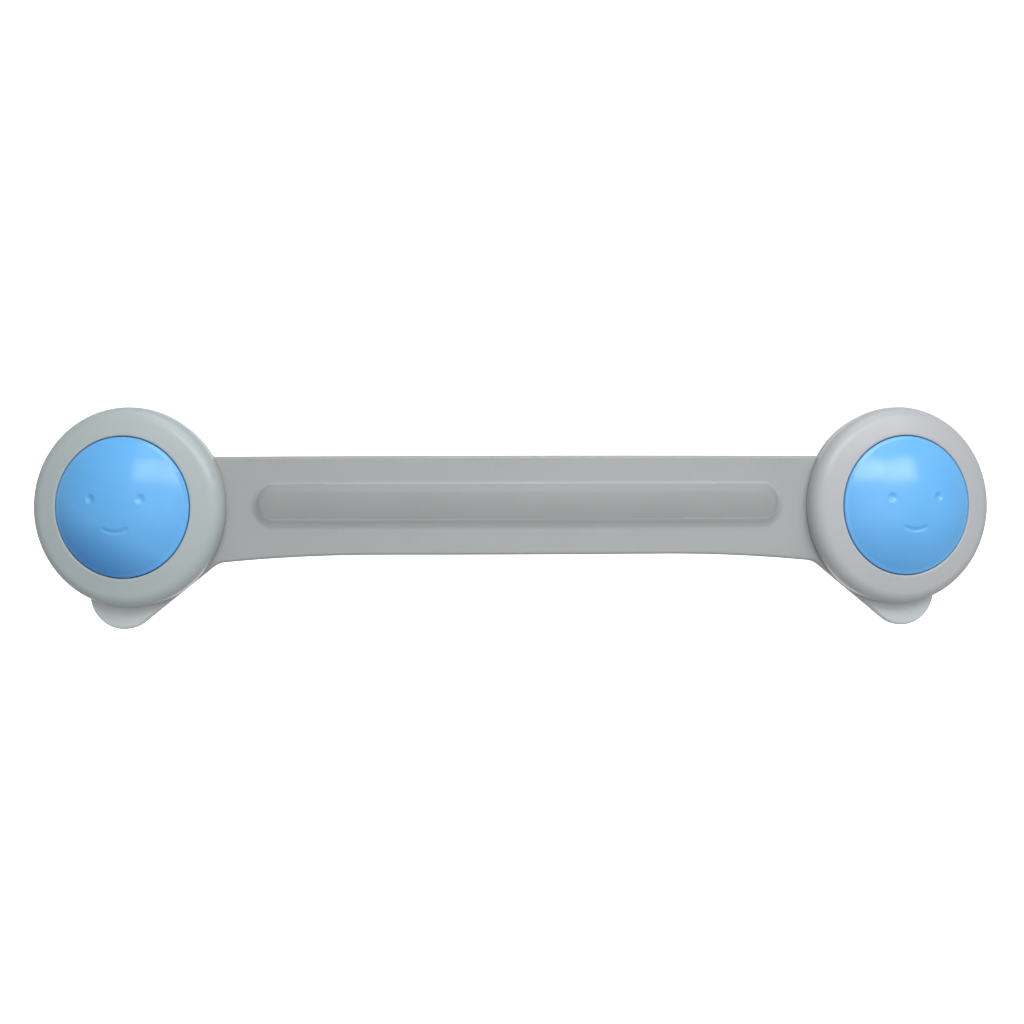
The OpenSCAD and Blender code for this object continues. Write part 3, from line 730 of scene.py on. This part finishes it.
def corner_normals(line):
    """Outward normals along a line with its body on the left, longer at corners so that an inset is even."""
    sharpest = 0.6
    normals = []
    for k, p in enumerate(line):
        before, after = line[max(k - 1, 0)], line[min(k + 1, len(line) - 1)]
        turn = [Vector((d.y, -d.x)).normalized() for d in (p - before, after - p) if d.length > 1e-9]
        middle = sum(turn, Vector((0, 0))).normalized()
        normals.append(middle / max(sharpest, middle.dot(turn[0])))
    return normals


def inside(p, loop):
    """Whether a point is within a closed outline."""
    hit = False
    for a, b in zip(loop, loop[1:] + loop[:1]):
        if (a.y > p.y) != (b.y > p.y) and p.x < a.x + (p.y - a.y) / (b.y - a.y) * (b.x - a.x):
            hit = not hit
    return hit


def filled(loops):
    """Triangles, as numbers of the points, between the first outline and the holes in it."""
    flat = [p for loop in loops for p in loop]
    sides, first = [], 0
    for loop in loops:
        n = len(loop)
        sides += [(first + k, first + (k + 1) % n) for k in range(n)]
        first += n
    unit = 1 / MM
    _, _, tris, origin, _, _ = delaunay_2d_cdt([p * unit for p in flat], sides, [], 0, 1e-6)
    out = []
    for tri in tris:
        corners = [origin[k][0] for k in tri]
        middle = (flat[corners[0]] + flat[corners[1]] + flat[corners[2]]) / 3
        if inside(middle, loops[0]) and not any(inside(middle, hole) for hole in loops[1:]):
            out.append(corners)
    return out


def end_plate(bm, side):
    """Flat end of the strap with its tongue, web and holes. It meets the bowed stretch at the root."""
    def place(x, y, w):
        return bm.verts.new(bent(side * (HEAD_S - x), y, w))

    line = [Vector(p) for p in plate_outline()]
    normals = corner_normals(line)
    normals[0], normals[-1] = Vector((0, 1)), Vector((0, -1))
    profile = edge_profile()
    rim = []
    for p, n in zip(line, normals):
        rim.append([place(p.x - n.x * inset, p.y - n.y * inset, z) for inset, z in profile])
    for here, after in zip(rim, rim[1:]):
        for j in range(len(profile) - 1):
            bm.faces.new([here[j], after[j], after[j + 1], here[j + 1]])
    low, high = line[-1].y + EDGE_R, STRAP_HIGH - EDGE_R
    outer = [Vector((p.x - n.x * EDGE_R, p.y - n.y * EDGE_R)) for p, n in zip(line, normals)]
    outer += [Vector((ROOT_L, low + (high - low) * k / STRAP_ROWS)) for k in range(1, STRAP_ROWS)]
    holes = plate_holes()
    chamfer = 0.15 * MM
    loops = [outer]
    for hole in holes:
        ring = [Vector(p) for p in hole]
        around = corner_normals([ring[-1]] + ring + [ring[0]])[1:-1]
        loops.append([p + n * chamfer for p, n in zip(ring, around)])
    triangles = filled(loops)
    wall_w = STRAP_T / 2 - chamfer
    for face in (1, -1):
        made = [place(x, y, face * STRAP_T / 2) for loop in loops for x, y in loop]
        for tri in triangles:
            bm.faces.new([made[k] for k in tri])
        first = len(outer)
        for hole in holes:
            wall = [place(x, y, face * wall_w) for x, y in hole]
            bridge(bm, made[first:first + len(hole)], wall)
            first += len(hole)
    for hole in holes:
        front, back = [[place(x, y, w) for x, y in hole] for w in (wall_w, -wall_w)]
        bridge(bm, front, back)


def clip_guides(bm, side):
    """Peg inside the clip's bend and keeper over its open end, moulded on the end plate."""
    peg_y, peg_r, cap_r = 8.05 * MM, 1.1 * MM, 1.8 * MM
    sunk, guide_z, guide_top = PLATE_TOP - 0.3 * MM, 6.5 * MM, 7.1 * MM
    keeper_in, keeper_out, keeper_low, keeper_high = 5.2 * MM, 6.5 * MM, -7.8 * MM, -6.4 * MM
    peg = [(0, sunk, 0), (peg_r, sunk, 0), (peg_r, guide_z, 0.1 * MM), (cap_r, guide_z, 0.1 * MM),
           (cap_r, guide_top, 0.15 * MM), (0, guide_top, 0)]
    local = bmesh.new()
    lathe(local, fillet(peg, 3), 48, (0, peg_y))
    for way in (-1, 1):
        x0, x1 = sorted((way * keeper_in, way * keeper_out))
        block(local, (x0, keeper_low, sunk), (x1, keeper_high, guide_z + 0.1 * MM))
    block(local, (-keeper_out, keeper_low, guide_z), (keeper_out, keeper_high, guide_top))
    local.transform(head_matrix(side))
    kept = bpy.data.meshes.new("kept")
    local.to_mesh(kept)
    local.free()
    bm.from_mesh(kept)
    bpy.data.meshes.remove(kept)


def make_strap(material, rib_material):
    """The strap's one moulding: pieces that meet in the middle of each link, so that each spans a hinge."""
    last = len(HINGES) - 1
    cuts = [-ARC_HALF] + [(-TILT + HINGE_STEP * k) * ARC_R for k in range(1, last + 1)] + [ARC_HALF]
    heads = {0: LEFT, last: RIGHT}
    names = {0: "strap_left_end", last: "strap_right_end"}
    closed_ends = {0: [-1], last: [0]}
    nodes = {0: ["left_strap_end"], last: ["right_strap_end", "strap_link_5"]}
    for k, (s0, s1) in enumerate(zip(cuts, cuts[1:])):
        bm = bmesh.new()
        strap_stretch(bm, s0, s1, closed_ends.get(k, [0, -1]))
        if k in heads:
            end_plate(bm, heads[k])
        clean(bm, 2e-7)
        if k in heads:
            clip_guides(bm, heads[k])
        piece = new_piece(names.get(k, f"strap_span_{k}"), bm, material, 32)
        piece.data.materials.append(rib_material)
        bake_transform(piece)
        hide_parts(*nodes.get(k, [f"strap_link_{k}"]))


def cover_profile():
    """Section of the cover ring as (r, z), from its foot up the outside and back down the inside."""
    foot_inset, edge_r, lip, chamfer = 0.8 * MM, 0.3 * MM, 0.3 * MM, 1.2 * MM
    crown_cz = COVER_TOP - math.sqrt(CROWN_R ** 2 - OPENING_R ** 2)
    shoulder_x = HEAD_R - SHOULDER_R
    shoulder_cz = crown_cz + math.sqrt((CROWN_R - SHOULDER_R) ** 2 - shoulder_x ** 2)
    turn_end = math.degrees(math.atan2(shoulder_cz - crown_cz, shoulder_x))
    crown_from, crown_to = shoulder_x * CROWN_R / (CROWN_R - SHOULDER_R), SEAM_R + lip
    crown = [crown_from * (1 - t) + crown_to * t for t in (k / 8 for k in range(1, 9))]
    profile = [(HEAD_R - foot_inset, PLATE_TOP), (HEAD_R - foot_inset, COVER_FOOT)]
    profile += arc_points(HEAD_R - edge_r, COVER_FOOT + edge_r, edge_r, -90, 0, 5)
    profile += arc_points(shoulder_x, shoulder_cz, SHOULDER_R, 0, turn_end, 28)
    profile += [(r, crown_cz + math.sqrt(CROWN_R ** 2 - r ** 2)) for r in crown]
    profile += arc_points(crown_to, profile[-1][1] - lip, lip, 90, 180, 6)[1:]
    profile += [(SEAM_R, CAVITY_Z), (CAVITY_R - chamfer, CAVITY_Z), (CAVITY_R, CAVITY_Z - chamfer),
                (CAVITY_R, PLATE_TOP)]
    return profile


def make_cover(side, material):
    """Cover ring: rounded shoulder, slightly crowned top, soft lip round the button, pins and key ribs."""
    name = SIDE_NAME[side]
    pin_r, boss_r, tip, deep = 1.1 * MM, 1.4 * MM, PLATE_Z + 0.2 * MM, CAVITY_Z + 0.3 * MM
    pin = [(0, tip, 0), (pin_r, tip, 0.25 * MM), (pin_r, COVER_FOOT, 0), (boss_r, COVER_FOOT, 0.1 * MM),
           (boss_r, deep, 0), (0, deep, 0)]
    bm = bmesh.new()
    lathe(bm, cover_profile())
    for at in PINS:
        lathe(bm, fillet(pin, 4), 40, at)
    for way in (-1, 1):
        x0, x1 = sorted((way * KEY_FROM, way * KEY_TO))
        block(bm, (x0, -KEY_HALF, COVER_FOOT), (x1, KEY_HALF, deep))
    clean(bm)
    piece = new_piece(f"{name}_cover", bm, material, 40, head_matrix(side))
    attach(piece, f"{name}_head")
    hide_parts(f"{name}_cover_ring")


def smile_depth(x, y):
    """Depth of the plain smile at a place on the dome: two eye dimples and a curved groove."""
    eye_x, eye_y, eye_r, eye_depth = 5.2 * MM, 1.7 * MM, 1.2 * MM, 0.40 * MM
    mouth_r, mouth_y, mouth_half, mouth_w, mouth_depth = 5 * MM, 4.9 * MM, 28, 0.62 * MM, 0.24 * MM
    end_fade, far_past = 0.35, 20
    depth = 0
    for way in (-1, 1):
        away = math.hypot(x - way * eye_x, y - eye_y) / eye_r
        if away < 1:
            depth = max(depth, eye_depth * (1 - away * away) ** 2)
    cy = mouth_r - mouth_y
    angle = abs(math.degrees(math.atan2(x, cy - y)))
    past = max(angle - mouth_half, 0)
    if past < far_past and y < cy:
        beside = math.hypot(x, y - cy) - mouth_r
        share = math.hypot(beside, math.radians(past) * mouth_r) / mouth_w
        if share < 1:
            fade = 1 - end_fade * (min(angle, mouth_half) / mouth_half) ** 2
            depth = max(depth, mouth_depth * fade * (1 - share * share) ** 2)
    return depth


def cap_profile():
    """Section of the button cap as (r, z): dome, soft rim, flange, seat of the spring and the inside.
    The dome has fine steps where the smile is and coarser ones outside it."""
    flange_top, skirt_r, seat_r, soft = FLANGE_Z + 1 * MM, 12.5 * MM, 10.5 * MM, 0.15 * MM
    fine, fine_count, coarse = 0.13 * MM, 61, 0.4 * MM
    steps = [fine * k for k in range(1, fine_count + 1)]
    while steps[-1] + coarse < DOME_EDGE:
        steps.append(steps[-1] + coarse)
    steps.append(DOME_EDGE)
    profile = [(0, DOME_CZ + DOME_R)] + [(r, DOME_CZ + math.sqrt(DOME_R ** 2 - r * r)) for r in steps]
    tilt = math.asin(DOME_EDGE / DOME_R)
    rim_cz = profile[-1][1] - CAP_RIM * math.cos(tilt)
    profile += arc_points(DOME_EDGE, rim_cz, CAP_RIM, 90 - math.degrees(tilt), 0, 7)[1:]
    profile += fillet([(BUTTON_R, flange_top, soft), (FLANGE_R, flange_top, soft), (FLANGE_R, FLANGE_Z, soft),
                       (skirt_r, FLANGE_Z, 0.1 * MM)], 3)[1:]
    profile += [(skirt_r, SEAT_Z), (seat_r, SEAT_Z)]
    inner_r = DOME_R - CAP_WALL
    for r in (seat_r * (1 - k / 24) for k in range(24)):
        profile.append((r, DOME_CZ + math.sqrt(inner_r ** 2 - r * r)))
    return profile + [(0, DOME_CZ + inner_r)]


def make_cap(side, material):
    """Button cap: glossy dome with a plain smile, soft rim, skirt, flange and two wedge fingers.
    The finger beside the clip's bend is narrower, because the clip's legs move less there."""
    name = SIDE_NAME[side]
    notch_r, notch_half = KEY_FROM - KEY_GAP, KEY_HALF + KEY_GAP
    bm = bmesh.new()
    lathe(bm, cap_profile(), 320)
    for v in bm.verts:
        r = math.hypot(v.co.x, v.co.y)
        outside = v.co.z > DOME_CZ + DOME_R - CAP_WALL / 2 - r * r / DOME_R
        if outside and r < DOME_EDGE:
            v.co.z -= smile_depth(v.co.x, v.co.y)
        if r > notch_r and abs(v.co.y) < notch_half:
            v.co.x *= notch_r / r
    near, far, tip_z, wide_z, top = 4.2 * MM, 5.8 * MM, 6.0 * MM, 7.6 * MM, 12.6 * MM
    for way, tip_x, wide_x in ((-1, 2.2 * MM, 3.65 * MM), (1, 1.9 * MM, 2.45 * MM)):
        outline = fillet([(-tip_x, tip_z, 0.15 * MM), (tip_x, tip_z, 0.15 * MM), (wide_x, wide_z, 0.4 * MM),
                          (wide_x, top, 0), (-wide_x, top, 0), (-wide_x, wide_z, 0.4 * MM)], 4)
        low, high = sorted((way * near, way * far))
        prism(bm, outline, low, high, lambda x, z, y: (x, y, z), 0.1 * MM)
    clean(bm)
    piece = new_piece(f"{name}_cap", bm, material, 44, head_matrix(side))
    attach(piece, f"{name}_button")
    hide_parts(f"{name}_button_cap")


def make_spring(side, material):
    """Return spring: two turns of wire between end plate and cap, attached to the head."""
    name = SIDE_NAME[side]
    wire, mean_r, turns, play = 0.45 * MM, 11.2 * MM, 2, 0.02 * MM
    low, high = PLATE_TOP + wire + play, SEAT_Z - wire - play
    path = []
    for t in (k / (48 * turns) for k in range(48 * turns + 1)):
        a = TURN * turns * t
        path.append(Vector((mean_r * math.cos(a), mean_r * math.sin(a), low + (high - low) * t)))
    bm = bmesh.new()
    tube(bm, path, wire, 16)
    clean(bm)
    matrix = head_matrix(side)
    piece = new_piece(f"{name}_spring", bm, material, 50, matrix)
    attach(piece, f"{name}_head")
    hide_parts(f"{name}_return_spring")
    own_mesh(piece)


def make_clip(side, material):
    """Latch clip: hairpin of spring wire, its bend and each leg a piece of its own, attached to the head."""
    name = SIDE_NAME[side]
    wire, mid_x, bend_y, leg_y = 0.5 * MM, 2.95 * MM, 6.8 * MM, 7.4 * MM
    turn_r, splay, tail, spread_keep = 1.5 * MM, math.radians(20), 0.8 * MM, 0.72
    matrix = head_matrix(side)
    bm = bmesh.new()
    tube(bm, [Vector((mid_x * math.cos(a), bend_y + mid_x * math.sin(a), CLIP_Z))
              for a in (math.pi * k / 24 for k in range(25))], wire)
    clean(bm)
    bend = new_piece(f"{name}_clip_bend", bm, material, 50, matrix)
    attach(bend, f"{name}_head")
    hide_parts(f"{name}_latch_clip")
    for way, letter in ((-1, "a"), (1, "b")):
        path = [Vector((way * mid_x, bend_y - (bend_y + leg_y) * k / 20, CLIP_Z)) for k in range(21)]
        for a in (splay * k / 6 for k in range(1, 7)):
            x, y = mid_x + turn_r * (1 - math.cos(a)), -leg_y - turn_r * math.sin(a)
            path.append(Vector((way * x, y, CLIP_Z)))
        path.append(path[-1] + tail * Vector((way * math.sin(splay), -math.cos(splay), 0)))
        bm = bmesh.new()
        tube(bm, path, wire)
        clean(bm)
        leg = new_piece(f"{name}_clip_leg_{letter}", bm, material, 50, matrix)
        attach(leg, f"{name}_head")
        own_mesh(leg)


def make_post(side, material):
    """Turned catch post: foot, shank, neck and mushroom head with a soft edge."""
    name = SIDE_NAME[side]
    foot_r, shank_r, neck_r, head_r = 5.5 * MM, 3.7 * MM, 2.4 * MM, 3.6 * MM
    foot_top, shank_top = BASE_Z + 0.75 * MM, PLATE_TOP - 0.2 * MM
    head_side, head_top = POST_HEAD_Z + 0.5 * MM, POST_HEAD_Z + 1.5 * MM
    corners = [(0, BASE_Z, 0), (foot_r, BASE_Z, 0.1 * MM), (foot_r, foot_top, 0.1 * MM),
               (shank_r, foot_top, 0.08 * MM), (shank_r, shank_top, 0.25 * MM),
               (neck_r, shank_top, 0.15 * MM), (neck_r, POST_HEAD_Z, 0.15 * MM),
               (head_r, POST_HEAD_Z, 0.12 * MM), (head_r, head_side, 0.3 * MM),
               (head_r * 0.6, head_top, 0.5 * MM), (0, head_top, 0)]
    bm = bmesh.new()
    lathe(bm, fillet(corners, 5), 128)
    clean(bm)
    piece = new_piece(f"{name}_post", bm, material, 40, head_matrix(side))
    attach(piece, f"{name}_base")
    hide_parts(f"{name}_catch_post")


def make_base(side, material):
    """Base plate: bevelled disc with a stepped seat for the post and two locating pins."""
    name = SIDE_NAME[side]
    foot, seat, step, bevel = 5.55 * MM, 3.75 * MM, BASE_Z + 0.8 * MM, 0.6 * MM
    disc = [(foot, BASE_Z, 0.1 * MM), (BASE_R, BASE_Z, 0.25 * MM), (BASE_R, BASE_TOP - bevel, 0.3 * MM),
            (BASE_R - bevel, BASE_TOP, 0.3 * MM), (seat, BASE_TOP, 0.15 * MM), (seat, step, 0.05 * MM),
            (foot, step, 0.05 * MM)]
    pin_r, pin_low, pin_top = 1.6 * MM, BASE_TOP - 0.4 * MM, PLATE_TOP - 0.2 * MM
    pin = [(0, pin_low, 0), (pin_r, pin_low, 0), (pin_r, pin_top, 0.4 * MM), (0, pin_top, 0)]
    bm = bmesh.new()
    lathe(bm, fillet(disc, 5))
    for x in (-LOCATOR_X, LOCATOR_X):
        lathe(bm, fillet(pin, 5), 64, (x, 0))
    clean(bm)
    piece = new_piece(f"{name}_base", bm, material, 40, head_matrix(side))
    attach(piece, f"{name}_base")
    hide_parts(f"{name}_base_plate")


def wavy_rim(bm):
    """Makes the rim of the foam slightly uneven, by a sum of waves that stays within the pad's radius."""
    height, inward = 0.02 * MM, 0.052 * MM
    for v in bm.verts:
        a = math.atan2(v.co.y, v.co.x)
        if math.hypot(v.co.x, v.co.y) > PAD_R * 0.9:
            wave = height * (math.sin(7 * a + 1) + math.sin(17 * a) + 0.6 * math.sin(41 * a + 2)) - inward
            v.co.x += wave * math.cos(a)
            v.co.y += wave * math.sin(a)


def make_pad(side, foam_material, film_material):
    """Adhesive pad: a die-cut foam disc that bulges slightly, with a thin film of adhesive on its face."""
    name = SIDE_NAME[side]
    skin, bulge, film_r = 0.08 * MM, 0.16 * MM, PAD_R - 0.35 * MM
    rim = [(PAD_R - bulge + bulge * math.sin(math.pi * t), skin + (BASE_Z - skin) * t)
           for t in (k / 8 for k in range(9))]
    bm = bmesh.new()
    lathe(bm, [(0, skin)] + rim + [(0, BASE_Z)])
    wavy_rim(bm)
    clean(bm)
    pad = new_piece(f"{name}_pad", bm, foam_material, 50, head_matrix(side))
    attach(pad, f"{name}_base")
    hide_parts(f"{name}_adhesive_pad")
    bm = bmesh.new()
    lathe(bm, fillet([(0, 0, 0), (film_r, 0, 0.03 * MM), (film_r, skin, 0), (0, skin, 0)], 2))
    clean(bm)
    sticky = new_piece(f"{name}_pad_film", bm, film_material, 50, head_matrix(side))
    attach(sticky, f"{name}_base")


make_camera()
make_stage()

# The strap's paler end tone is painted light on its tongues.
strap_plastic = moulded_plastic("strap_plastic", STRAP, STRAP_SHADE, rough=0.38, grain=0.22 * MM,
                                grain_depth=0.006 * MM, gloss=0.42, tongue=TONGUE_LIT)
rib_plastic = moulded_plastic("rib_plastic", RIB, RIB_SHADE, rough=0.44, grain=0.16 * MM,
                              grain_depth=0.01 * MM, gloss=0.36)
# The left ring's darker tone is painted shade.
ring_plastic = {
    side: moulded_plastic(f"ring_plastic_{SIDE_NAME[side]}", RING[side], RING_SHADE[side], rough=0.29,
                          grain=0.2 * MM, grain_depth=0.003 * MM, gloss=0.45, worn_edges=True)
    for side in (LEFT, RIGHT)
}
base_plastic = moulded_plastic("base_plastic", BASE, BASE_SHADE, rough=0.5, grain=0.3 * MM,
                               grain_depth=0.012 * MM, gloss=0.5, worn_edges=True)
button_blue = {side: glossy_button(side) for side in (LEFT, RIGHT)}
pad_foam, adhesive_film = foam(), film()
post_steel, spring_steel = steel("post_steel", PLATED, 0.26, True), steel("spring_steel", WIRE, 0.34, False)

make_strap(strap_plastic, rib_plastic)
for side in (LEFT, RIGHT):
    make_cover(side, ring_plastic[side])
    make_cap(side, button_blue[side])
    make_spring(side, spring_steel)
    make_clip(side, spring_steel)
    make_post(side, post_steel)
    make_base(side, base_plastic)
    make_pad(side, pad_foam, adhesive_film)
